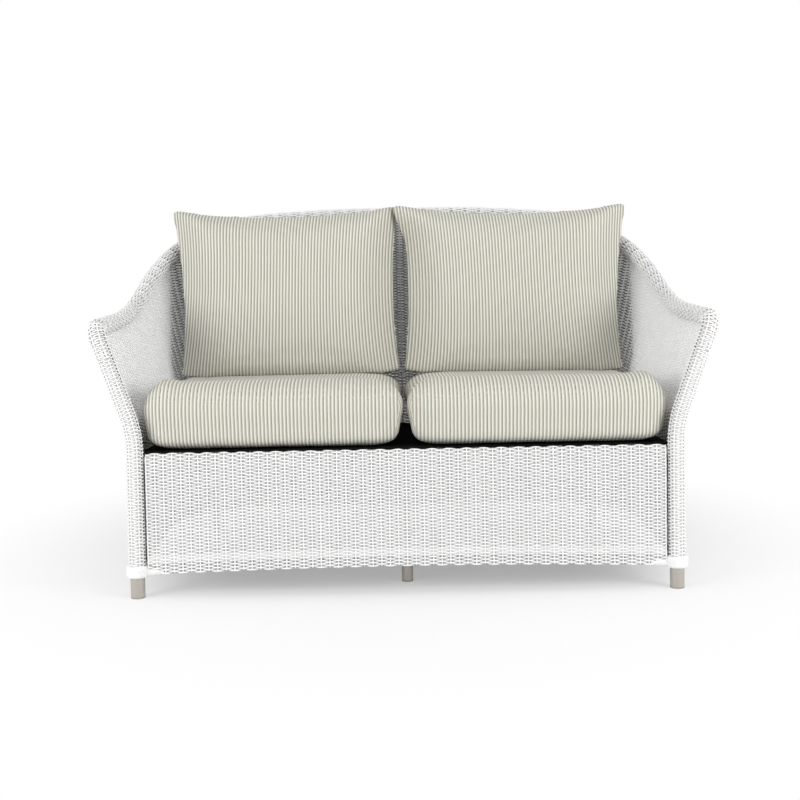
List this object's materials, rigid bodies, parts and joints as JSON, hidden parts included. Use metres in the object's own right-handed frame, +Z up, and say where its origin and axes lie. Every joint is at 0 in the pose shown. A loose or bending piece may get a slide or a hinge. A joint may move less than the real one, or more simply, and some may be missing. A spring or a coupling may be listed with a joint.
{
  "type": "patio loveseat",
  "caption": "Woven patio loveseat on a bent tube frame with flared arms, a front skirt, loose seat cushions and loose back cushions.",
  "frame": {"origin": "on the ground below the centre of the outline", "axes": "+X to the right seen from the front, front towards -Y, +Z up"},
  "size_m": [1.528, 0.944, 0.9324],
  "materials": {
    "frame_tube": "satin",
    "white_weave": "satin",
    "black_webbing": "matte",
    "foot_glide": "matte",
    "striped_cover": "matte"
  },
  "bodies": {
    "frame": {"front_leg_left": "frame_tube", "front_leg_right": "frame_tube", "rear_leg_left": "frame_tube", "rear_leg_right": "frame_tube", "centre_leg": "frame_tube", "seat_rail_front": "frame_tube", "seat_rail_rear": "frame_tube", "seat_rail_left": "frame_tube", "seat_rail_right": "frame_tube", "seat_stretcher": "frame_tube", "hem_rail_front": "frame_tube", "hem_rail_rear": "frame_tube", "hem_rail_left": "frame_tube", "hem_rail_right": "frame_tube", "arm_rail_left": "frame_tube", "arm_rail_right": "frame_tube", "top_rail": "frame_tube", "back_stay": "frame_tube", "skirt_weave": "white_weave", "back_weave": "white_weave", "side_weave_left": "white_weave", "side_weave_right": "white_weave", "post_wrap_left": "white_weave", "post_wrap_right": "white_weave", "rear_wrap_left": "white_weave", "rear_wrap_right": "white_weave", "arm_wrap_left": "white_weave", "arm_wrap_right": "white_weave", "crown_wrap": "white_weave", "post_cuff_left": "white_weave", "post_cuff_right": "white_weave", "rear_cuff_left": "white_weave", "rear_cuff_right": "white_weave", "seat_straps_lengthwise": "black_webbing", "seat_straps_crosswise": "black_webbing", "seat_deck": "black_webbing", "foot_glides": "foot_glide"},
    "left_seat": {"seat_cushion_left": "striped_cover"},
    "right_seat": {"seat_cushion_right": "striped_cover"},
    "left_back": {"back_cushion_left": "striped_cover"},
    "right_back": {"back_cushion_right": "striped_cover"}
  },
  "joints": [
    {"name": "left_seat_pull", "type": "slide", "parent": "frame", "child": "left_seat", "axis": [0, -0.9978, 0.0663], "range_m": [0, 0.7]},
    {"name": "right_seat_pull", "type": "slide", "parent": "frame", "child": "right_seat", "axis": [0, -0.9978, 0.0663], "range_m": [0, 0.7]},
    {"name": "left_back_lift", "type": "slide", "parent": "frame", "child": "left_back", "axis": [0, 0, 1], "range_m": [0, 0.45]},
    {"name": "right_back_lift", "type": "slide", "parent": "frame", "child": "right_back", "axis": [0, 0, 1], "range_m": [0, 0.45]}
  ]
}
